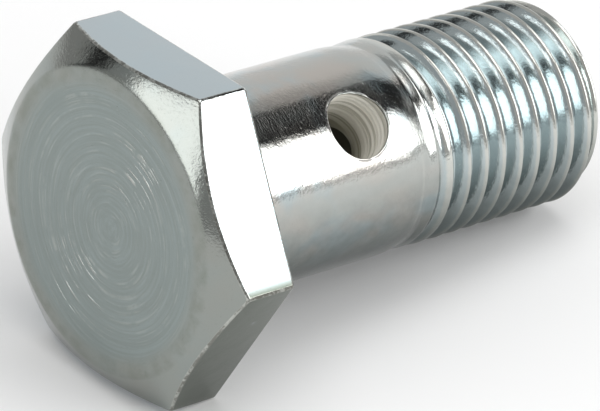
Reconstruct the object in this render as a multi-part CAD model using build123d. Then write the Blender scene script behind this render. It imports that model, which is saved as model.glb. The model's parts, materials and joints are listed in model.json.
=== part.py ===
"""Banjo bolt, M14 x 1.5, 22 mm across flats, lying at rest on its head and its thread end.

It is one forged, rolled and drilled piece. Lengths are in millimetres and angles in degrees.
The bolt is made about its own axis, with the bearing face under its head at height 0, the
head below it and the shank above it, and is then laid down: +X runs from the head to the
thread end, +Z is up, and the surface that the bolt lies on is at Z = 0.
A bearing is an angle round the bolt's axis, from level at +Y, over the top.
"""

from build123d import *
import math
import os

# Head: a hexagon with a cone cut on its top
HEX_ACROSS_FLATS = 22.0
HEAD_HEIGHT = 5.3
HEAD_FACE_INSET = 1.0  # from a flat to the rim of the flat disc that the cone leaves
HEAD_CONE_ANGLE = 30.0  # between the cone and the disc
HEAD_FACE_ROUND = 1.2  # of the soft rim between the disc and the cone
HEAD_EDGE_ROUND = 0.3

# Shank, from the bearing face to the thread
SHANK_D = 14.0
SHANK_LENGTH = 16.6
NECK_FILLET = 0.5  # between the bearing face and the shank
WAIST_D = 13.75  # the shank is drawn in a little just before the thread
WAIST_TAPER = 1.5  # length of the cone down to the waist
WAIST_FLARE = 0.4  # length of the cone back up to the thread

# Thread: right-handed, ISO metric profile
THREAD_D = 14.0
THREAD_PITCH = 1.5
THREAD_LENGTH = 14.6
THREAD_HALF_ANGLE = 30.0
CREST_PER_PITCH = 1 / 8  # width of the flat on the crest
DEPTH_PER_PITCH = 0.6134
END_CHAMFER = 0.7
RUN_OUT_TURNS = 1.0  # over these first turns the groove grows from nothing to full depth
RUN_OUT_GAP = 0.35  # from the end of the shank to the middle of the groove's first point
RUN_OUT_BEARING = 125.0  # of the groove's first point

# Drillings: a bore up the axis from the thread end, and a hole straight across the shank
BORE_D = 5.0
BORE_MOUTH_CHAMFER = 0.3
BORE_PAST_CROSS_HOLE = 0.6  # from the cross hole's wall to the end of the full bore
DRILL_POINT_ANGLE = 118.0
CROSS_HOLE_D = 4.5
CROSS_HOLE_FROM_HEAD = 11.1  # from the bearing face to the cross hole's axis
CROSS_HOLE_BEARING = 133.6

TOOL_OVERRUN = 0.1  # how far a cutting tool stands out of what it cuts
UNDERSIDE_BEARING = 270.0

apothem = HEX_ACROSS_FLATS / 2
thread_r = THREAD_D / 2
groove_depth = DEPTH_PER_PITCH * THREAD_PITCH
bore_r = BORE_D / 2
bolt_end = SHANK_LENGTH + THREAD_LENGTH
full_thread_end = bolt_end - END_CHAMFER
bore_end = CROSS_HOLE_FROM_HEAD - CROSS_HOLE_D / 2 - BORE_PAST_CROSS_HOLE
run_out_start = SHANK_LENGTH + RUN_OUT_GAP


def revolved(*points):
    """A solid of revolution about the bolt's axis, from its outline as (radius, height)."""
    outline = Plane.XZ * Polygon(*points, align=None)
    return revolve(outline, Axis.Z).solid()


def turned(solid, bearing, height=0.0):
    """The solid turned about the bolt's axis and moved along it."""
    return solid.moved(Location((0, 0, height), (0, 0, bearing)))


def head():
    """The hexagon, with its edges rounded as a forging's are."""
    hexagon = RegularPolygon(apothem, 6, major_radius=False)
    prism = extrude(hexagon, -HEAD_HEIGHT).solid()
    prism = prism.fillet(HEAD_EDGE_ROUND, prism.edges().filter_by(Axis.Z))
    bearing_face = prism.faces().sort_by(Axis.Z)[-1]
    prism = prism.fillet(HEAD_EDGE_ROUND, bearing_face.edges())
    face_r = apothem - HEAD_FACE_INSET
    cone_reach = HEAD_HEIGHT / math.tan(math.radians(HEAD_CONE_ANGLE))
    cone = revolved(
        (0, -HEAD_HEIGHT),
        (face_r, -HEAD_HEIGHT),
        (face_r + cone_reach, 0),
        (0, 0),
    )
    disc_rim = cone.edges().filter_by(GeomType.CIRCLE).sort_by(Axis.Z)[0]
    cone = cone.fillet(HEAD_FACE_ROUND, [disc_rim])
    forging = (prism & cone).solid()
    cone_face = forging.faces().filter_by(GeomType.CONE)[0]
    cone_edges = cone_face.edges().filter_by(GeomType.HYPERBOLA)
    return forging.fillet(HEAD_EDGE_ROUND, cone_edges)


def blank():
    """The head with the shank and the plain blank of the thread, before rolling and drilling."""
    waist = SHANK_LENGTH - WAIST_FLARE
    stem = revolved(
        (0, -NECK_FILLET),
        (SHANK_D / 2, -NECK_FILLET),
        (SHANK_D / 2, waist - WAIST_TAPER),
        (WAIST_D / 2, waist),
        (thread_r, SHANK_LENGTH),
        (thread_r, full_thread_end),
        (thread_r - END_CHAMFER, bolt_end),
        (0, bolt_end),
    )
    joined = (head() + stem).solid()
    neck = joined.edges().filter_by(GeomType.CIRCLE).filter_by_position(Axis.Z, 0, 0)
    return joined.fillet(NECK_FILLET, neck)


def groove_section():
    """The thread groove's section on the +X side, standing a little out of the crest."""
    slope = math.tan(math.radians(THREAD_HALF_ANGLE))
    half_mouth = (1 - CREST_PER_PITCH) * THREAD_PITCH / 2
    half_root = half_mouth - groove_depth * slope
    half_top = half_mouth + TOOL_OVERRUN * slope
    outline = Polygon(
        (thread_r + TOOL_OVERRUN, -half_top),
        (thread_r + TOOL_OVERRUN, half_top),
        (thread_r - groove_depth, half_root),
        (thread_r - groove_depth, -half_root),
        align=None,
    )
    return (Plane.XZ * outline).face()


def run_out_cutter():
    """The turns of the groove below its section, which climb out of the bolt as they go down."""
    drop = RUN_OUT_TURNS * THREAD_PITCH
    rise = groove_depth + TOOL_OVERRUN / 2
    cone_angle = math.atan2(rise, drop)
    slant_pitch = THREAD_PITCH / math.cos(cone_angle)
    path = Edge.make_helix(
        slant_pitch, drop, thread_r, normal=(0, 0, -1), angle=math.degrees(cone_angle)
    )
    start = path @ 0
    to_section = -math.degrees(math.atan2(start.Y, start.X))
    path = turned(path, to_section)
    return Solid.sweep(groove_section(), path, is_frenet=True)


def threaded(bolt):
    """The bolt with its thread groove cut, one turn at a time."""
    one_turn = Edge.make_helix(THREAD_PITCH, THREAD_PITCH, thread_r)
    turn_cutter = Solid.sweep(groove_section(), one_turn, is_frenet=True)
    full_start = run_out_start + RUN_OUT_TURNS * THREAD_PITCH
    full_bearing = RUN_OUT_BEARING + RUN_OUT_TURNS * 360
    turns = math.ceil((bolt_end - full_start) / THREAD_PITCH) + 1
    bolt = (bolt - turned(run_out_cutter(), full_bearing, full_start)).solid()
    for turn in range(turns):
        height = full_start + turn * THREAD_PITCH
        bolt = (bolt - turned(turn_cutter, full_bearing, height)).solid()
    return bolt


def drilled(bolt):
    """The bolt with its axial bore and its cross hole."""
    point_depth = bore_r / math.tan(math.radians(DRILL_POINT_ANGLE / 2))
    bore = revolved(
        (0, bore_end - point_depth),
        (bore_r, bore_end),
        (bore_r, bolt_end - BORE_MOUTH_CHAMFER),
        (bore_r + BORE_MOUTH_CHAMFER, bolt_end),
        (bore_r + BORE_MOUTH_CHAMFER, bolt_end + TOOL_OVERRUN),
        (0, bolt_end + TOOL_OVERRUN),
    )
    reach = SHANK_D / 2 + TOOL_OVERRUN
    drill = Cylinder(CROSS_HOLE_D / 2, 2 * reach, rotation=(0, 90, 0)).solid()
    drill = turned(drill, CROSS_HOLE_BEARING, CROSS_HOLE_FROM_HEAD)
    return (bolt - bore - drill).solid()


def touching_crest():
    """The height of the last full thread crest on the underside, which touches down."""
    turns_to_underside = (UNDERSIDE_BEARING - RUN_OUT_BEARING) / 360
    first = run_out_start + (turns_to_underside + 0.5) * THREAD_PITCH
    return first + math.floor((full_thread_end - first) / THREAD_PITCH) * THREAD_PITCH


def rest_tilt():
    """How far the axis slopes down to the thread end, in radians.

    The bolt lies on the rounded edge between a flat and the bearing face, and on a crest.
    """
    run = touching_crest() + HEAD_EDGE_ROUND
    drop = apothem - HEAD_EDGE_ROUND - thread_r
    return math.atan2(drop, run) + math.asin(HEAD_EDGE_ROUND / math.hypot(run, drop))


def laid_down(bolt):
    """The bolt lying at rest on Z = 0, centred over the origin."""
    tilt = rest_tilt()
    axis = (math.cos(tilt), 0, -math.sin(tilt))
    bolt = bolt.moved(Plane(origin=(0, 0, 0), x_dir=(0, 1, 0), z_dir=axis).location)
    box = bolt.bounding_box()
    return bolt.moved(Location((-box.center().X, 0, -box.min.Z)))


banjo_bolt = laid_down(drilled(threaded(blank())))
os.makedirs("parts", exist_ok=True)
export_step(banjo_bolt, "parts/banjo_bolt.step")
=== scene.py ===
"""Banjo bolt, M14 x 1.5, in bright zinc plating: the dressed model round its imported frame.

The bolt is shaped about its own axis, in millimetres: the bearing face under the head is at
height 0, the head lies below it and the thread above. A bearing is an angle round that axis.
Only at the end is it laid down where the frame has it.
"""

import json
import math

import bmesh
import bpy
from mathutils import Matrix, Vector, noise


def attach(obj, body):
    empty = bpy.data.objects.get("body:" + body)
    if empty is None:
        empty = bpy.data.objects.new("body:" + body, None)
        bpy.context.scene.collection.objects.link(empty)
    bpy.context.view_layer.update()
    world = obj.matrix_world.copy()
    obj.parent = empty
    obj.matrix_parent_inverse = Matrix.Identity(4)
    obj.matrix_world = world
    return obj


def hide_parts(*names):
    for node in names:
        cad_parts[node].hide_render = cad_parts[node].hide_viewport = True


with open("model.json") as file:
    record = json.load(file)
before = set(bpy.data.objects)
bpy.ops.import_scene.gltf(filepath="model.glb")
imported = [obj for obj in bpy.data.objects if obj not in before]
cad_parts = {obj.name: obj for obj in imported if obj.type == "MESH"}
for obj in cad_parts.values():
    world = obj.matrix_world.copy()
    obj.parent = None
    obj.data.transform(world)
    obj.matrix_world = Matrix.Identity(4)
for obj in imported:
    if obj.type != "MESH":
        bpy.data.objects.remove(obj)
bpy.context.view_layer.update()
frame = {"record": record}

bl_info = {
    "name": "Banjo bolt",
    "version": (1, 0, 0),
    "blender": (4, 5, 0),
    "location": "View3D > Sidebar > Banjo bolt",
    "description": "A zinc-plated banjo bolt with a rolled thread and two drillings, in a light studio",
    "category": "Add Mesh",
}

MM = 0.001
MOUNTS = {mount["name"]: mount for mount in frame["record"]["mounts"]}


def length(name, description, millimetres):
    return bpy.props.FloatProperty(
        name=name, description=description, default=millimetres * MM, min=0.0, precision=5, unit="LENGTH"
    )


def angle(name, description, degrees):
    return bpy.props.FloatProperty(
        name=name, description=description, default=math.radians(degrees), subtype="ANGLE"
    )


def colour(name, description, rgb):
    return bpy.props.FloatVectorProperty(
        name=name, description=description, default=rgb, size=3, min=0.0, max=1.0, subtype="COLOR"
    )


def share(name, description, value):
    return bpy.props.FloatProperty(
        name=name, description=description, default=value, min=0.0, max=1.0, subtype="FACTOR"
    )


class BoltSizes(bpy.types.PropertyGroup):
    across_flats: length("Across flats", "Width of the hexagon over two flats", 22.0)
    head_height: length("Head height", "From the bearing face to the head's flat disc", 5.3)
    face_inset: length("Face inset", "From a flat to the rim of the head's flat disc", 1.0)
    cone_angle: angle("Cone angle", "Between the head's cone and its flat disc", 30.0)
    edge_round: length("Edge round", "Radius of the hexagon's forged edges", 0.3)
    disc_round: length("Disc round", "Radius of the soft rim between disc and cone", 1.2)
    shank_d: length("Shank diameter", "Plain shank, and the thread over its crests", 14.0)
    shank_length: length("Shank length", "From the bearing face to the thread", 16.6)
    neck_round: length("Neck round", "Radius between the bearing face and the shank", 0.5)
    waist_d: length("Waist diameter", "Where the shank draws in before the thread", 13.6)
    waist_taper: length("Waist taper", "Length of the cone down to the waist", 1.2)
    waist_flare: length("Waist flare", "Length of the cone back up to the thread", 0.55)
    lip_d: length("Lip diameter", "Where the shank meets the thread", 13.84)
    pitch: length("Pitch", "Of the thread", 1.5)
    groove_depth: length("Groove depth", "Of the thread", 0.92)
    thread_length: length("Thread length", "From the shank to the bolt's end", 14.6)
    end_chamfer: length("End chamfer", "Height and width of the chamfer at the thread's end", 0.7)
    run_out_gap: length("Run-out gap", "From the shank to the middle of the groove's first point", 0.35)
    run_out_bearing: angle("Run-out bearing", "Of the groove's first point", 125.0)
    cross_hole_bearing: angle("Cross hole bearing", "Of the cross hole's near mouth", 133.6)
    cross_hole_height: length("Cross hole height", "From the bearing face to the hole's axis", 11.1)
    bore_end: length("Bore end", "From the bearing face to the end of the full bore", 8.25)
    drill_feed: length("Drill feed", "Between two tool rings on the cross hole's wall", 0.42)
    burr: length("Burr", "Height of the burr round the cross hole's mouth", 0.05)


class PlatingColours(bpy.types.PropertyGroup):
    silver: colour("Silver", "The plating on the shank", (0.47, 0.49, 0.47))
    warm: colour("Warm", "Where the plating turns faintly pink", (0.50, 0.475, 0.44))
    cool: colour("Cool", "Where the plating turns faintly blue", (0.42, 0.50, 0.52))
    forged: colour("Forged", "The plating on the head's cone", (0.275, 0.295, 0.275))
    flat: colour("Flat", "The plating on the hexagon's flats", (0.50, 0.58, 0.62))
    # Olive is painted shade, not passivation: the lower front flat is darkened as by the shadowed floor it
    # reflects.
    olive: colour("Olive", "The dark passivation on the lower front flat", (0.105, 0.12, 0.10))
    # Disc is darker partly as the turned face's own tone and partly as painted shade from the shadowed floor
    # it reflects.
    disc: colour("Disc", "The turned disc of the head", (0.245, 0.285, 0.275))
    rim: colour("Rim", "The soft rim round the disc", (0.225, 0.245, 0.215))
    groove: colour("Groove", "The blue passivation in the thread's grooves", (0.505, 0.575, 0.585))
    crest: colour("Crest", "The thread's crests and the worn edges", (0.66, 0.665, 0.62))
    line: colour("Line", "The dark line along the head's edges", (0.09, 0.085, 0.07))
    # Deep is painted shade: the drillings turn darker towards the bore's axis.
    deep: colour("Deep", "Deep inside the drillings", (0.30, 0.29, 0.23))
    # Under is painted shade, not passivation: it darkens the lower side of the shank and thread.
    under: colour("Under", "Dark passivation low on the shank and thread", (0.085, 0.10, 0.095))
    bore: colour("Bore", "Inside the drillings", (0.97, 0.95, 0.88))
    pit: colour("Pit", "Specks and pits", (0.10, 0.10, 0.09))
    roughness: share("Roughness", "Of the clean plating", 0.11)


class StudioLight(bpy.types.PropertyGroup):
    room: share("Room", "Brightness of the white room", 0.45)
    wall: share("Wall", "Brightness of the wall behind the thread, above the room's", 0.38)
    floor: share("Floor", "How much light the floor returns", 0.93)
    softbox: bpy.props.FloatProperty(
        name="Softbox",
        description="Brightness of the softboxes against a white wall",
        default=2.2,
        min=0.0,
    )


# ---------------------------------------------------------------- sections and rings

ARC_STEPS = 6
MERGE = 1e-4


def smooth_min(a, b, blend):
    overlap = max(blend - abs(a - b), 0.0) / blend
    return min(a, b) - overlap * overlap * blend / 4


def smooth_max(a, b, blend):
    return -smooth_min(-a, -b, blend)


def ease(value):
    value = min(max(value, 0.0), 1.0)
    return value * value * (3 - 2 * value)


def spaced(start, end, steps):
    """Evenly spaced points after the start, up to the end."""
    start, end = Vector(start), Vector(end)
    return [start.lerp(end, step / steps) for step in range(1, steps + 1)]


def polar(radius, bearing, height):
    return Vector((radius * math.cos(bearing), radius * math.sin(bearing), height))


def rounded(corners):
    """The outline through (radius, height, round) corners, with each round as an arc."""
    outline = [Vector(corners[0][:2])]
    for before, corner, after in zip(corners, corners[1:], corners[2:]):
        here = Vector(corner[:2])
        back = (Vector(before[:2]) - here).normalized()
        ahead = (Vector(after[:2]) - here).normalized()
        half = back.angle(ahead) / 2
        middle = here + (back + ahead).normalized() * corner[2] / math.sin(half)
        first = here + back * corner[2] / math.tan(half)
        last = here + ahead * corner[2] / math.tan(half)
        sweep = (first - middle).angle_signed(last - middle)
        outline += [
            middle + Matrix.Rotation(-sweep * step / ARC_STEPS, 2) @ (first - middle)
            for step in range(ARC_STEPS + 1)
        ]
    return outline + [Vector(corners[-1][:2])]


def sheet(bm, rows):
    """Faces through rows of places, all with as many places."""
    verts = bmesh.ops.create_grid(bm, x_segments=len(rows[0]) - 1, y_segments=len(rows) - 1)["verts"]
    for vert, place in zip(verts, (place for row in rows for place in row)):
        vert.co = place
    bmesh.ops.remove_doubles(bm, verts=verts, dist=MERGE)


def sleeve(bm, rings):
    """A sheet that closes on itself round each ring."""
    sheet(bm, [[*ring, ring[0]] for ring in rings])


def revolve(bm, outline, bearings):
    """A sleeve round the axis, from its outline as (radius, height)."""
    sleeve(bm, [[polar(radius, bearing, height) for bearing in bearings] for radius, height in outline])


def open_edges(bm, height):
    """The edges at that height that only one face holds."""
    return [
        edge
        for edge in bm.edges
        if len(edge.link_faces) == 1 and all(abs(vert.co.z - height) < MERGE for vert in edge.verts)
    ]


# ---------------------------------------------------------------- the bolt's mesh

DISC_ROWS = 14  # rings of faces over the head's disc
CORNER_STEPS = 8  # stations over each rounded corner of the hexagon
FLAT_STEPS = 32  # stations along each flat
STATIONS = 6 * (CORNER_STEPS + FLAT_STEPS)

PLAIN_ROWS = 8  # from the neck to the window round the cross hole
TAPER_ROUND = 10.0
WAIST_ROUND = 0.8

THREAD_STATIONS = 192
SEAM = 0.03  # height left between the shank and the thread's sheet, bridged at the end
# Rows across one pitch of the thread, as distances from the middle of the groove
ROW_OFFSETS = (0.05, 0.1, 0.15, 0.21, 0.34, 0.47, 0.59, 0.63, 0.67, 0.71)
RUN_OUT_LEAD = 0.1  # turns before the groove's first point at which it starts to grow
GROOVE_START = 0.25  # height above the shank over which the groove starts
ROOT_ROUND = 0.14
CREST_ROUND = 0.2
RUN_OUT_CREST_ROUND = 0.4  # more round on the crests of the run-out
RUN_OUT_CRESTS = 1.6  # turns up to which they have it
SOFT_HALF_WIDTH = 0.62  # of the soft groove that the run-out starts with
SHARP_FROM = 0.15  # share of the depth at which the soft groove starts to turn sharp
SHARP_OVER = 0.35
LIP_LENGTH = 0.9  # over which the thread's crests rise from the lip
CHAMFER_ROUND = 0.06

WALL_SLACK = 0.01  # how far the middle of a wall's face may lie from the wall's radius
BORE_STATIONS = 96
BORE_ROWS = 10  # from the bore's mouth to its window
POINT_ROWS = 6  # down the drill's point
END_FACE_RIM = 1.2  # from the crests in to the edge of the end face
BORE_MOUTH_CHAMFER = 0.3
DRILL_HALF_ANGLE = math.radians(59)

HOLE_STATIONS = 128  # as many as the places round each window
SHANK_WINDOW_ROWS = 16  # half the window in the shank round each mouth of the cross hole
SHANK_WINDOW_HALF = 2.88
SHANK_WINDOW_ANGLE = math.radians(24)
BORE_WINDOW_ROWS = 14  # the same in the bore
BORE_WINDOW_HALF = 2.6
BORE_WINDOW_ANGLE = math.radians(67.5)
SHANK_APPROACH_ROWS = 4  # from the window to the cross hole
BORE_APPROACH_ROWS = 3
HOLE_ROWS = (64, 12)  # down the cross hole's wall, on the near side and on the far side
MOUTH_COLLAR = 0.3  # from the cross hole to where the burr's fine rings start
MOUTH_RINGS = (0.22, 0.16, 0.11, 0.075)
MOUTH_ROUND = 0.05
MOUTH_STEPS = 4
BURR_WIDTH = 0.06
RING_DEPTH = 0.04  # of the drill's rings
RING_FADE = 0.2  # where they fade out towards each end of the hole


class Bolt:
    """The bolt's sizes in millimetres, and its mesh while it is being made."""

    def __init__(self, sizes):
        for name in sizes.__annotations__:
            value = getattr(sizes, name)
            setattr(self, name, value if "angle" in name or "bearing" in name else value / MM)
        self.apothem = self.across_flats / 2
        self.shank_r = self.shank_d / 2
        self.end = self.shank_length + self.thread_length
        self.bore_r = MOUNTS["axial_bore"]["dims"]["r_mm"]
        self.hole_r = MOUNTS["cross_hole"]["dims"]["r_mm"]
        self.bm = bmesh.new()
        step = math.tau / STATIONS
        self.even = [self.cross_hole_bearing % step + step * number for number in range(STATIONS)]

    # ---- head

    def head_stations(self):
        """Bearings round the hexagon, close together over its rounded corners."""
        centre = (self.apothem - self.edge_round) / math.cos(math.pi / 6)
        over_corner = []
        for step in range(CORNER_STEPS + 1):
            turn = (step / CORNER_STEPS - 0.5) * math.pi / 3
            over_corner.append(
                math.atan2(self.edge_round * math.sin(turn), centre + self.edge_round * math.cos(turn))
            )
        gap = math.pi / 3 - 2 * over_corner[-1]
        along_flat = [over_corner[-1] + gap * step / FLAT_STEPS for step in range(1, FLAT_STEPS)]
        sector = over_corner + along_flat
        return [side * math.pi / 3 + bearing for side in range(6) for bearing in sector]

    def side_radius(self, bearing):
        """From the axis to the hexagon with its rounded corners."""
        off_corner = (bearing + math.pi / 6) % (math.pi / 3) - math.pi / 6
        centre = (self.apothem - self.edge_round) / math.cos(math.pi / 6)
        limit = math.atan2(self.edge_round / 2, centre + self.edge_round * math.cos(math.pi / 6))
        if abs(off_corner) < limit:
            across = centre * math.sin(off_corner)
            return centre * math.cos(off_corner) + math.sqrt(self.edge_round**2 - across**2)
        return self.apothem / math.cos(math.pi / 6 - abs(off_corner))

    def head_section(self, bearing):
        """From the middle of the disc, over the cone and the side, onto the bearing face."""
        face_r = self.apothem - self.face_inset
        side_r = self.side_radius(bearing)
        cone_end = -self.head_height + (side_r - face_r) * math.tan(self.cone_angle)
        return rounded(
            [
                (0.0, -self.head_height, 0.0),
                (face_r, -self.head_height, self.disc_round),
                (side_r, cone_end, self.edge_round),
                (side_r, 0.0, self.edge_round),
                (self.shank_r + self.neck_round, 0.0, 0.0),
            ]
        )

    def add_head(self):
        """The head, from the middle of its disc to the foot of the neck."""
        stations = self.head_stations()
        sections = [self.head_section(bearing) for bearing in stations]
        rim = sections[0][1][0]
        rings = [
            [polar(rim * row / DISC_ROWS, bearing, -self.head_height) for bearing in stations]
            for row in range(DISC_ROWS)
        ]
        rings += [
            [
                polar(section[row][0], bearing, section[row][1])
                for section, bearing in zip(sections, stations)
            ]
            for row in range(1, len(sections[0]) - 1)
        ]
        rings.append([polar(self.shank_r + self.neck_round, bearing, 0.0) for bearing in self.even])
        sleeve(self.bm, rings)

    # ---- shank

    def add_shank(self):
        """The neck, the plain shank, the waist and the flare to the thread."""
        waist = self.shank_length - self.waist_flare
        window_low = self.cross_hole_height - SHANK_WINDOW_HALF
        window_high = self.cross_hole_height + SHANK_WINDOW_HALF
        neck = rounded(
            [
                (self.shank_r + 2 * self.neck_round, 0.0, 0.0),
                (self.shank_r, 0.0, self.neck_round),
                (self.shank_r, window_low, 0.0),
            ]
        )[1:-1]
        plain = spaced(neck[-1], (self.shank_r, window_low), PLAIN_ROWS)
        around_hole = spaced(plain[-1], (self.shank_r, window_high), 2 * SHANK_WINDOW_ROWS)
        tail = rounded(
            [
                (self.shank_r, window_high, 0.0),
                (self.shank_r, waist - self.waist_taper, TAPER_ROUND),
                (self.waist_d / 2, waist, WAIST_ROUND),
                (self.lip_d / 2, self.shank_length, 0.0),
            ]
        )[1:]
        revolve(self.bm, neck + plain + around_hole + tail, self.even)

    # ---- thread

    def thread_radius(self, bearing, height):
        """The surface of the thread, with its run-out at the shank and its chamfer at the end."""
        turn = (bearing - self.run_out_bearing) / math.tau
        above_shank = height - self.shank_length
        first = self.shank_length + self.run_out_gap
        turns = round((height - first) / self.pitch - turn) + turn
        off_middle = abs(height - first - turns * self.pitch)
        grown = min(max((turns + RUN_OUT_LEAD) / (1 + RUN_OUT_LEAD), 0.0), 1.0)
        depth = self.groove_depth * grown * ease(above_shank / GROOVE_START)
        flank = (off_middle - self.pitch / 12) / math.tan(math.pi / 6)
        shoulder = CREST_ROUND + RUN_OUT_CREST_ROUND * ease(RUN_OUT_CRESTS - turns)
        sharp = smooth_min(smooth_max(0.0, flank, ROOT_ROUND), depth, shoulder)
        soft = depth * ease(off_middle / SOFT_HALF_WIDTH)
        lip = (self.shank_d - self.lip_d) / 2 * ease(1 - above_shank / LIP_LENGTH)
        sharper = (sharp - soft) * ease((grown - SHARP_FROM) / SHARP_OVER)
        radius = self.shank_r - lip - depth + soft + sharper
        chamfer = self.end - height + self.shank_r - self.end_chamfer
        return smooth_min(radius, chamfer, CHAMFER_ROUND)

    def add_thread(self):
        """A sheet wound into a helix, closed on itself a pitch up, and cut off square at both ends."""
        half = self.pitch / 2
        offsets = [-offset for offset in reversed(ROW_OFFSETS)] + [0.0] + list(ROW_OFFSETS) + [half]
        first = self.shank_length + self.run_out_gap - self.run_out_bearing / math.tau * self.pitch
        low = self.shank_length + SEAM
        pitches = math.ceil(self.thread_length / self.pitch) + 2
        chain = []
        for number in range(-1, pitches):
            chain += [first + (number - 1) * self.pitch + offset for offset in offsets]
        before = set(self.bm.verts)
        laps = [step / THREAD_STATIONS for step in range(THREAD_STATIONS + 1)]
        rows = [
            [polar(self.shank_r, math.tau * lap, height + self.pitch * lap) for lap in laps]
            for height in chain
        ]
        sheet(self.bm, rows)
        for height, sign in ((low, -1), (self.end, 1)):
            turns = [vert for vert in self.bm.verts if vert not in before]
            parts = turns + list({edge for vert in turns for edge in vert.link_edges})
            parts += list({face for vert in turns for face in vert.link_faces})
            bmesh.ops.bisect_plane(
                self.bm,
                geom=parts,
                plane_co=(0, 0, height),
                plane_no=(0, 0, sign),
                clear_outer=True,
                dist=MERGE,
            )
        for vert in self.bm.verts:
            if vert in before:
                continue
            bearing = math.atan2(vert.co.y, vert.co.x)
            vert.co = polar(self.thread_radius(bearing, vert.co.z), bearing, vert.co.z)

    # ---- bore and cross hole

    def add_bore(self):
        """The end face, the bore's mouth and wall, and the drill's point."""
        step = math.tau / BORE_STATIONS
        bearings = [self.cross_hole_bearing + step * number for number in range(BORE_STATIONS)]
        low = self.cross_hole_height - BORE_WINDOW_HALF
        high = self.cross_hole_height + BORE_WINDOW_HALF
        tip = self.bore_end - self.bore_r / math.tan(DRILL_HALF_ANGLE)
        outline = [
            Vector((self.shank_r - END_FACE_RIM, self.end)),
            Vector((self.bore_r + BORE_MOUTH_CHAMFER, self.end)),
        ]
        for end, steps in (
            ((self.bore_r, self.end - BORE_MOUTH_CHAMFER), 1),
            ((self.bore_r, high), BORE_ROWS),
            ((self.bore_r, low), 2 * BORE_WINDOW_ROWS),
            ((self.bore_r, self.bore_end), 1),
            ((0.0, tip), POINT_ROWS),
        ):
            outline += spaced(outline[-1], end, steps)
        revolve(self.bm, outline, bearings)

    def window(self, radius, side, half_bearing, half_height):
        """Opens the wall of that radius round the cross hole, and returns the rim's places in order."""
        bearing = self.cross_hole_bearing + side * math.pi
        slack = MERGE

        def offsets(vert):
            turn = math.atan2(vert.co.y, vert.co.x) - bearing
            turn = (turn + math.pi) % math.tau - math.pi
            return turn, vert.co.z - self.cross_hole_height

        inside = []
        for face in self.bm.faces:
            middle = face.calc_center_median()
            if abs(math.hypot(middle.x, middle.y) - radius) > WALL_SLACK:
                continue
            if all(
                abs(turn) < half_bearing + slack and abs(height) < half_height + slack
                for turn, height in map(offsets, face.verts)
            ):
                inside.append(face)
        kept = set(self.bm.faces) - set(inside)
        rim = {
            vert
            for face in inside
            for vert in face.verts
            if any(other in kept for other in vert.link_faces)
        }

        def lap(vert):
            turn, height = offsets(vert)
            return math.atan2(height / half_height, turn / half_bearing)

        places = [vert.co.copy() for vert in sorted(rim, key=lap)]
        bmesh.ops.delete(self.bm, geom=inside, context="FACES")
        return places

    def add_hole(self, side):
        """One mouth of the cross hole, its wall, and where it breaks into the bore."""
        bearing = self.cross_hole_bearing + side * math.pi
        out = Vector((math.cos(bearing), math.sin(bearing), 0))
        along = Vector((-math.sin(bearing), math.cos(bearing), 0))
        middle = Vector((0, 0, self.cross_hole_height))
        outer = self.window(self.shank_r, side, SHANK_WINDOW_ANGLE, SHANK_WINDOW_HALF)
        inner = self.window(self.bore_r, side, BORE_WINDOW_ANGLE, BORE_WINDOW_HALF)

        def place(across, height, depth, radius):
            """A point so far under a cylinder of that radius, along the hole's axis."""
            reach = math.sqrt(radius**2 - across**2) - depth
            return middle + out * reach + along * across + Vector((0, 0, height))

        def turns(rim):
            """Evenly spaced angles round the hole, one for each place of a window's rim."""
            step = math.tau / HOLE_STATIONS
            start = rim[0] - middle
            first = round(math.atan2(start.z, start.dot(along)) / step - 0.5) * step + step / 2
            return [first + step * number for number in range(HOLE_STATIONS)]

        def approach(rim, radius, reach, rows):
            """Rings on the cylinder from a window's rim to a circle of that reach round the hole."""
            rings = [rim]
            for row in range(1, rows + 1):
                ring = []
                for start, turn in zip(rim, turns(rim)):
                    start = Vector(((start - middle).dot(along), start.z - middle.z))
                    end = Vector((reach * math.cos(turn), reach * math.sin(turn)))
                    across, height = start.lerp(end, row / rows)
                    ring.append(place(across, height, 0.0, radius))
                rings.append(ring)
            return rings

        laps = turns(outer)
        mouth = approach(outer, self.shank_r, self.hole_r + MOUTH_COLLAR, SHANK_APPROACH_ROWS)
        for off in MOUTH_RINGS:
            mouth.append([self.mouth_place(place, off, turn, side) for turn in laps])
        for step in range(1, MOUTH_STEPS + 1):
            lean = step / MOUTH_STEPS * math.pi / 2
            off = MOUTH_ROUND * (1 - math.sin(lean))
            drop = MOUTH_ROUND * (1 - math.cos(lean))
            mouth.append([self.mouth_place(place, off, turn, side, drop) for turn in laps])
        rows = HOLE_ROWS[side]
        for row in range(1, rows + 1):
            ring = []
            for turn in laps:
                across = self.hole_r * math.cos(turn)
                top = math.sqrt(self.shank_r**2 - across**2) - MOUTH_ROUND
                foot = math.sqrt(self.bore_r**2 - across**2)
                reach = top + (foot - top) * row / rows
                fade = ease((top - reach) / RING_FADE), ease((reach - foot) / RING_FADE)
                groove = self.tool_rings(turn, reach) * fade[0] * fade[1]
                radius = self.hole_r + (groove if side == 0 else 0.0)
                ring.append(
                    middle
                    + out * reach
                    + along * radius * math.cos(turn)
                    + Vector((0, 0, radius * math.sin(turn)))
                )
            mouth.append(ring)
        sleeve(self.bm, mouth)
        sleeve(self.bm, approach(inner, self.bore_r, self.hole_r, BORE_APPROACH_ROWS))

    def mouth_place(self, place, off, turn, side, drop=0.0):
        """A point near the hole's mouth, with the burr that the drill leaves."""
        radius = self.hole_r + off
        uneven = 0.5 + 1.4 * noise.noise(Vector((4 * math.cos(turn), 4 * math.sin(turn), 5.0 * side)))
        height = self.burr * max(uneven, 0.1) * math.exp(-((off - MOUTH_ROUND) / BURR_WIDTH) ** 2)
        across = radius * math.cos(turn)
        return place(across, radius * math.sin(turn), drop - height, self.shank_r)

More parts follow.
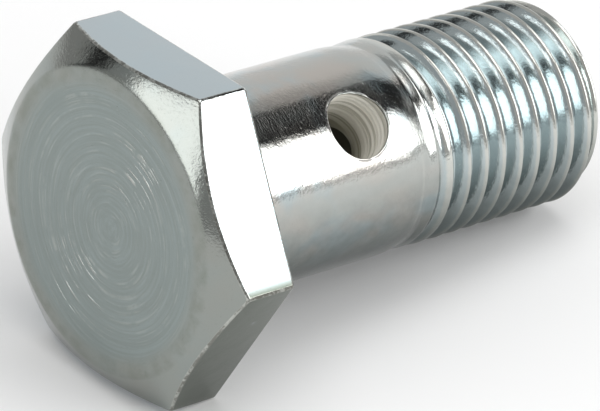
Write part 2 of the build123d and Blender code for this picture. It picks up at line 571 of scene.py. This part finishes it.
    def tool_rings(self, turn, reach):
        """How far the drill's rings stand out of the hole's wall into the hole, as a negative length."""
        phase = (reach / self.drill_feed - turn / math.tau) % 1.0
        return -RING_DEPTH * (0.5 - 0.5 * math.cos(math.tau * phase)) ** 2

    # ---- whole

    def mesh(self):
        bm = self.bm
        self.add_head()
        self.add_shank()
        self.add_bore()
        for side in (0, 1):
            self.add_hole(side)
        self.add_thread()
        seam = open_edges(bm, self.shank_length) + open_edges(bm, self.shank_length + SEAM)
        bmesh.ops.bridge_loops(bm, edges=seam)
        bmesh.ops.bridge_loops(bm, edges=open_edges(bm, self.end))
        bmesh.ops.remove_doubles(bm, verts=bm.verts, dist=MERGE)
        bmesh.ops.recalc_face_normals(bm, faces=bm.faces)
        loose = [edge for edge in bm.edges if len(edge.link_faces) != 2]
        if loose:
            spots = sorted({tuple(round(c, 2) for c in edge.verts[0].co) for edge in loose})
            raise RuntimeError(f"the bolt is open at {len(loose)} edges, such as {spots[:6]}")
        return bm


def mark_surface(bm, axis):
    """Stores at each vertex how sharply the surface bends, per millimetre and below 0 in a
    hollow, and how far it faces along the axis."""
    bm.normal_update()
    curve = bm.verts.layers.float.new("curve")
    lean = bm.verts.layers.float.new("lean")
    for vert in bm.verts:
        bends = []
        for edge in vert.link_edges:
            away = edge.other_vert(vert).co - vert.co
            bends.append(-2 * away.dot(vert.normal) / away.length_squared)
        vert[curve] = sum(bends) / len(bends) * MM
        vert[lean] = abs(vert.normal.dot(axis))


def placement():
    """Where the bolt's own frame lies: its axis down the bore, its first bearing level."""
    axis = Vector(MOUNTS["axial_bore"]["axis"])
    level = Vector((0, 1, 0))
    cross = MOUNTS["cross_hole"]
    sizes = bpy.context.scene.bolt_sizes
    origin = Vector(cross["pos_m"]) - axis * sizes.cross_hole_height
    turn = Matrix((level, axis.cross(level), axis)).transposed()
    return Matrix.Translation(origin) @ turn.to_4x4()


class BANJO_OT_bolt(bpy.types.Operator):
    """Shape the bolt as one closed mesh and plate it"""

    bl_idname = "banjo.bolt"
    bl_label = "Bolt"

    def execute(self, context):
        bm = Bolt(context.scene.bolt_sizes).mesh()
        bmesh.ops.transform(bm, matrix=placement() @ Matrix.Scale(MM, 4), verts=bm.verts)
        for face in bm.faces:
            face.smooth = True
        mark_surface(bm, Vector(MOUNTS["axial_bore"]["axis"]))
        mesh = bpy.data.meshes.new("bolt")
        bm.to_mesh(mesh)
        bm.free()
        piece = bpy.data.objects.new("bolt", mesh)
        context.scene.collection.objects.link(piece)
        mesh.materials.append(plating(context.scene.plating_colours))
        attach(piece, "root")
        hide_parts("banjo_bolt")
        print("bolt triangles", sum(len(face.vertices) - 2 for face in mesh.polygons))
        return {"FINISHED"}


# ---------------------------------------------------------------- material


class Value:
    """A number that varies over a surface. Arithmetic on it adds the nodes that work it out."""

    def __init__(self, shader, socket):
        self.shader = shader
        self.socket = socket

    def maths(self, operation, *others):
        return self.shader.maths(operation, self, *others)

    def __add__(self, other):
        return self.maths("ADD", other)

    __radd__ = __add__

    def __sub__(self, other):
        return self.maths("SUBTRACT", other)

    def __rsub__(self, other):
        return self.shader.maths("SUBTRACT", other, self)

    def __mul__(self, other):
        return self.maths("MULTIPLY", other)

    __rmul__ = __mul__

    def __truediv__(self, other):
        return self.maths("DIVIDE", other)

    def __pow__(self, other):
        return self.maths("POWER", other)


class Shader:
    """The node tree of one material."""

    def __init__(self, name):
        self.material = bpy.data.materials.new(name)
        self.material.use_nodes = True
        self.tree = self.material.node_tree
        self.surface = self.tree.nodes["Principled BSDF"]

    def node(self, kind, settings=None, inputs=None):
        node = self.tree.nodes.new(kind)
        for name, value in (settings or {}).items():
            setattr(node, name, value)
        self.feed(node, inputs or {})
        return node

    def feed(self, node, inputs):
        for name, value in inputs.items():
            socket = node.inputs[name]
            if isinstance(value, Value):
                self.tree.links.new(value.socket, socket)
            elif isinstance(value, bpy.types.NodeSocket):
                self.tree.links.new(value, socket)
            else:
                socket.default_value = value

    def maths(self, operation, *values):
        node = self.node("ShaderNodeMath", {"operation": operation}, dict(enumerate(values)))
        return Value(self, node.outputs[0])

    def step(self, value, low, high):
        """From 0 at the low value to 1 at the high one, eased."""
        node = self.node(
            "ShaderNodeMapRange",
            {"interpolation_type": "SMOOTHSTEP"},
            {"Value": value, "From Min": low, "From Max": high},
        )
        return Value(self, node.outputs["Result"])

    def mix(self, mask, first, second):
        node = self.node(
            "ShaderNodeMix",
            {"data_type": "RGBA"},
            {"Factor": mask, 6: first, 7: second},
        )
        return node.outputs[2]

    def parts(self, vector):
        node = self.node("ShaderNodeSeparateXYZ", None, {0: vector})
        return [Value(self, socket) for socket in node.outputs]

    def joined(self, x, y, z):
        return self.node("ShaderNodeCombineXYZ", None, {0: x, 1: y, 2: z}).outputs[0]

    def attribute(self, name):
        return Value(self, self.node("ShaderNodeAttribute", {"attribute_name": name}).outputs["Fac"])

    def stretched(self, vector, scale):
        node = self.node("ShaderNodeVectorMath", {"operation": "MULTIPLY"}, {0: vector, 1: scale})
        return node.outputs[0]

    def noise(self, vector, scale, detail=2.0, rough=0.5):
        node = self.node(
            "ShaderNodeTexNoise",
            {"noise_dimensions": "3D"},
            {"Vector": vector, "Scale": scale, "Detail": detail, "Roughness": rough},
        )
        return Value(self, node.outputs["Fac"])


TURNING_CENTRE = (-0.8, -0.1)
TURNING_RINGS = 5.0  # rings per millimetre
SCORE_AND_GLINT_SPOTS = ((-2.6, 4.6), (2.3, -5.0))  # where the turning tool scored the disc deepest, and where the scores carry a painted glint
FRONT_FLAT = math.radians(210)  # bearing of the flat painted dark with shade

# Where each zone of the plating starts and where it is full, as heights in the bolt's own frame
HEAD_ZONE = (0.1, -0.1)
DISC_ZONE = (-5.1, -5.25)
THREAD_ZONE = (16.7, 17.4)
END_ZONE = (30.3, 30.6)
CROSS_HOLE_ZONE = (15.6, 15.2)
BORE_ZONE = (15.0, 15.6)
BORE_MOUTH_ZONE = (31.15, 31.0)
UNDERSIDE_SHADE_ZONE = (2.6, -4.6)  # painted shade on the underside; this one above the axis as the bolt lies, and below it
# The same as distances from the axis
TURNED_REACH = (9.6, 8.4)
FRONT_FLAT_REACH = (10.0, 10.9)
CREST_REACH = (6.82, 6.93)
CROSS_HOLE_REACH = (6.92, 6.85)
BORE_REACH = (5.9, 5.7)
DEEP_SHADE_REACH = (5.0, 2.4)


def rgba(colour):
    return (*colour, 1.0)


def plating(colours):
    """Bright zinc over forged, rolled and turned steel."""
    shader = Shader("bright_zinc")
    place = placement()
    here = shader.node("ShaderNodeTexCoord").outputs["Object"]
    own = shader.node(
        "ShaderNodeMapping",
        {"vector_type": "TEXTURE"},
        {
            "Vector": here,
            "Location": place.translation,
            "Rotation": place.to_euler("XYZ"),
            "Scale": (MM, MM, MM),
        },
    ).outputs[0]
    x, y, z = shader.parts(own)
    radius = (x * x + y * y) ** 0.5
    curve = shader.attribute("curve")
    side = shader.step(shader.attribute("lean"), 0.6, 0.3)
    head = shader.step(z, *HEAD_ZONE)
    disc = shader.step(z, *DISC_ZONE)
    thread = shader.step(z, *THREAD_ZONE)
    cross_hole = shader.step(radius, *CROSS_HOLE_REACH) * shader.step(z, *CROSS_HOLE_ZONE) * (1 - head)
    bore_length = shader.step(z, *BORE_ZONE) * shader.step(z, *BORE_MOUTH_ZONE)
    bore = shader.step(radius, *BORE_REACH) * bore_length
    drilled = cross_hole + bore

    # Unevenness
    clouds = shader.noise(own, 0.3, 2.0)
    tint = shader.noise(shader.stretched(own, (0.25, 0.25, 0.12)), 1.0, 2.0)
    grain = shader.noise(own, 5.0, 3.0, 0.6)
    fibres = shader.noise(shader.stretched(own, (2.6, 2.6, 8.0)), 1.0, 4.0, 0.65)
    patches = shader.noise(own, 0.9, 3.0, 0.6)

    # Turning marks on the disc, a little off its middle
    across, up = x - TURNING_CENTRE[0], y - TURNING_CENTRE[1]
    reach = (across * across + up * up) ** 0.5
    lap = shader.joined(reach * TURNING_RINGS, across / (reach + 0.2), up / (reach + 0.2))
    rings = shader.noise(lap, 1.0, 2.0, 0.7)
    # Painted highlight: near these spots the scores are strongest, and later take the bright crest colour as
    # glints.
    glints = 0.25
    for near in SCORE_AND_GLINT_SPOTS:
        from_spot = ((x - near[0]) ** 2 + (y - near[1]) ** 2) ** 0.5
        glints = glints + shader.step(from_spot, 3.6, 1.0)
    scores_and_glints = shader.step(shader.noise(lap, 1.3, 1.0), 0.54, 0.68) * shader.step(patches, 0.38, 0.58) * glints
    turned = disc * shader.step(radius, *TURNED_REACH)

    # Colour, from the plain plating to the zones that lie over it
    base = shader.mix(shader.step(tint, 0.44, 0.66), rgba(colours.silver), rgba(colours.warm))
    base = shader.mix(shader.step(clouds, 0.48, 0.68) * 0.8, base, rgba(colours.cool))
    base = shader.mix(head * 0.85, base, shader.mix(side, rgba(colours.forged), rgba(colours.flat)))
    # Painted shade: the lower front flat of the hexagon is darkened in patches.
    front = shader.step(x * math.cos(FRONT_FLAT) + y * math.sin(FRONT_FLAT), *FRONT_FLAT_REACH)
    base = shader.mix(head * side * front * shader.step(patches, 0.0, 0.3), base, rgba(colours.olive))
    rim = disc * (1 - turned) * shader.step(patches, 0.25, 0.75)
    base = shader.mix(rim * 0.7, base, rgba(colours.rim))
    face = shader.mix(shader.step(rings, 0.35, 0.75) * 0.2, rgba(colours.disc), rgba(colours.cool))
    # The crest colour over the scores is a painted glint; their bump is real relief.
    base = shader.mix(turned * 0.85, base, shader.mix(scores_and_glints * 0.6, face, rgba(colours.crest)))
    base = shader.mix(thread * (1 - drilled), base, rgba(colours.groove))
    crest = shader.step(radius + (grain - 0.5) * 0.12, *CREST_REACH)
    crest = thread * (1 - (1 - crest) * (1 - shader.step(z, *END_ZONE)))
    base = shader.mix(crest * 0.9, base, rgba(colours.crest))
    base = shader.mix(head * shader.step(curve, 0.9, 1.4) * 0.5, base, rgba(colours.crest))
    worn = head * shader.step(curve, 1.2, 1.8) * shader.step(patches + grain, 0.85, 1.1)
    base = shader.mix(worn * 0.75, base, rgba(colours.line))
    # Painted shade: the shank and thread turn darker towards their lower side.
    underside_shade = shader.step(y + (patches - 0.5) * 2.0, *UNDERSIDE_SHADE_ZONE)
    base = shader.mix(underside_shade * (1 - head) * (0.95 - thread * 0.15), base, rgba(colours.under))
    bearing = bpy.context.scene.bolt_sizes.cross_hole_bearing
    along = x * math.cos(bearing) + y * math.sin(bearing)
    feed = shader.noise(shader.joined(along * 3.0, 0.5, 0.5), 1.0, 1.0)
    # Painted shade: darker towards the bore's axis, deepest at the drill's point, with darker bands from the
    # drill's feed.
    inside = shader.step(radius, *DEEP_SHADE_REACH) + shader.step(feed, 0.5, 0.38) * 0.5
    base = shader.mix(drilled, base, shader.mix(inside, rgba(colours.bore), rgba(colours.deep)))
    fine = shader.noise(own, 11.0, 2.0, 0.6)
    pits = shader.step(fine, 0.70, 0.78) * shader.step(patches, 0.42, 0.56)
    base = shader.mix(pits * 0.7, base, rgba(colours.pit))
    beads = shader.step(fine, 0.31, 0.24) * shader.step(patches, 0.44, 0.56)

    # Sheen and relief
    metal = 1 - drilled * 0.85
    rough = colours.roughness + (grain - 0.5) * 0.12 + disc * 0.08 + drilled * 0.3
    height = grain * (0.007 + head * (1 - side) * 0.003) + clouds * 0.04 + fibres * (1 - head) * 0.009
    height = height + turned * (rings * 0.010 + scores_and_glints * 0.020) - pits * 0.012 + beads * 0.012
    bump = shader.node("ShaderNodeBump", None, {"Strength": 1.0, "Distance": MM, "Height": height})
    shader.feed(
        shader.surface,
        {"Base Color": base, "Metallic": metal, "Roughness": rough, "Normal": bump.outputs[0]},
    )
    return shader.material


# ---------------------------------------------------------------- stage

FOCAL_LENGTH = 330.0
SENSOR_WIDTH = 36.0
CAMERA_PLACE = Vector((-193.2268, -234.5809, 195.1851)) * MM
CAMERA_TURN = (58.054, 0.400, -39.451)

# Azimuth and elevation in degrees, then distance, width and height in metres
BLACK_CARDS = {
    "card_right": (82.0, 38.0, 0.9, 0.55, 0.38),
    "card_low": (71.0, 16.0, 0.9, 0.13, 0.45),
    "card_front": (47.0, 52.5, 0.9, 0.26, 0.13),
    "card_left": (-148.0, 16.0, 0.9, 0.14, 0.5),
}
# The same, then the brightness as a multiple of the softbox setting
SOFTBOXES = {
    "softbox_right": (35.0, 26.0, 0.9, 0.76, 0.65, 1.7),
    "softbox_left": (-107.0, 20.0, 0.9, 0.6, 0.4, 1.0),
    "softbox_end": (96.0, 12.0, 0.9, 0.4, 0.3, 1.0),
    "softbox_above": (-30.0, 80.0, 1.2, 0.9, 0.9, 0.75),
    "softbox_high": (88.0, 68.0, 0.9, 0.5, 0.22, 0.7),
}
WALL = (140.0, 16.0, 1.0, 1.5, 0.9)
FLOOR_RADIUS = 4.0
CARD_BLACK = 0.02


def matte(name, brightness):
    """A grey without any gloss."""
    shader = Shader(name)
    shader.feed(
        shader.surface,
        {"Base Color": rgba([brightness] * 3), "Roughness": 1.0, "Specular IOR Level": 0.0},
    )
    return shader.material


def toward(azimuth, elevation):
    """The direction at so many degrees from the front, to the right, and above level."""
    azimuth, elevation = math.radians(azimuth), math.radians(elevation)
    return Vector(
        (
            math.sin(azimuth) * math.cos(elevation),
            -math.cos(azimuth) * math.cos(elevation),
            math.sin(elevation),
        )
    )


def panel(name, azimuth, elevation, distance, width, height):
    """A flat card that faces the bolt, hidden from the camera but not from the plating."""
    bm = bmesh.new()
    bmesh.ops.create_grid(bm, x_segments=1, y_segments=1, size=0.5)
    bmesh.ops.scale(bm, vec=(width, height, 1.0), verts=bm.verts)
    direction = toward(azimuth, elevation)
    turn = direction.to_track_quat("-Z", "Y").to_matrix().to_4x4()
    bmesh.ops.transform(bm, matrix=Matrix.Translation(direction * distance) @ turn, verts=bm.verts)
    mesh = bpy.data.meshes.new(name)
    bm.to_mesh(mesh)
    bm.free()
    card = bpy.data.objects.new(name, mesh)
    card.visible_camera = False
    bpy.context.scene.collection.objects.link(card)
    return card


def softbox(name, azimuth, elevation, distance, width, height, brightness):
    """An area lamp that faces the bolt, hidden from the camera."""
    lamp = bpy.data.lights.new(name, "AREA")
    lamp.shape = "RECTANGLE"
    lamp.size = width
    lamp.size_y = height
    lamp.energy = brightness * math.pi * width * height
    place = bpy.data.objects.new(name, lamp)
    direction = toward(azimuth, elevation)
    place.location = direction * distance
    place.rotation_euler = direction.to_track_quat("Z", "Y").to_euler()
    place.visible_camera = False
    bpy.context.scene.collection.objects.link(place)


class BANJO_OT_stage(bpy.types.Operator):
    """Set the pale floor, the white room with its softboxes and dark cards, and the camera"""

    bl_idname = "banjo.stage"
    bl_label = "Stage"

    def execute(self, context):
        scene = context.scene
        light = scene.studio_light
        bm = bmesh.new()
        bmesh.ops.create_circle(bm, cap_ends=True, segments=96, radius=FLOOR_RADIUS)
        mesh = bpy.data.meshes.new("floor")
        bm.to_mesh(mesh)
        bm.free()
        floor = bpy.data.objects.new("floor", mesh)
        scene.collection.objects.link(floor)
        mesh.materials.append(matte("floor_pale", light.floor))

        world = bpy.data.worlds.new("white_room")
        scene.world = world
        world.use_nodes = True
        world.node_tree.nodes["Background"].inputs["Color"].default_value = rgba([light.room] * 3)

        black = matte("card_black", CARD_BLACK)
        for name, setting in BLACK_CARDS.items():
            panel(name, *setting).data.materials.append(black)
        for name, (*setting, brightness) in SOFTBOXES.items():
            softbox(name, *setting, brightness * light.softbox)
        softbox("wall", *WALL, light.wall)

        lens = bpy.data.cameras.new("camera")
        lens.sensor_width = SENSOR_WIDTH
        lens.lens = FOCAL_LENGTH
        camera = bpy.data.objects.new("camera", lens)
        camera.location = CAMERA_PLACE
        camera.rotation_euler = [math.radians(turn) for turn in CAMERA_TURN]
        scene.collection.objects.link(camera)
        scene.camera = camera
        scene.view_settings.view_transform = "Standard"
        return {"FINISHED"}


class BANJO_PT_panel(bpy.types.Panel):
    bl_idname = "BANJO_PT_panel"
    bl_label = "Banjo bolt"
    bl_space_type = "VIEW_3D"
    bl_region_type = "UI"
    bl_category = "Banjo bolt"

    def draw(self, context):
        for group in ("bolt_sizes", "plating_colours", "studio_light"):
            settings = getattr(context.scene, group)
            for name in settings.__annotations__:
                self.layout.prop(settings, name)
        self.layout.operator(BANJO_OT_bolt.bl_idname)
        self.layout.operator(BANJO_OT_stage.bl_idname)


CLASSES = (BoltSizes, PlatingColours, StudioLight, BANJO_OT_bolt, BANJO_OT_stage, BANJO_PT_panel)


def register():
    for kind in CLASSES:
        bpy.utils.register_class(kind)
    bpy.types.Scene.bolt_sizes = bpy.props.PointerProperty(type=BoltSizes)
    bpy.types.Scene.plating_colours = bpy.props.PointerProperty(type=PlatingColours)
    bpy.types.Scene.studio_light = bpy.props.PointerProperty(type=StudioLight)


def unregister():
    del bpy.types.Scene.studio_light
    del bpy.types.Scene.plating_colours
    del bpy.types.Scene.bolt_sizes
    for kind in reversed(CLASSES):
        bpy.utils.unregister_class(kind)


def main():
    register()
    bpy.ops.banjo.bolt()
    bpy.ops.banjo.stage()


if __name__ == "__main__":
    main()
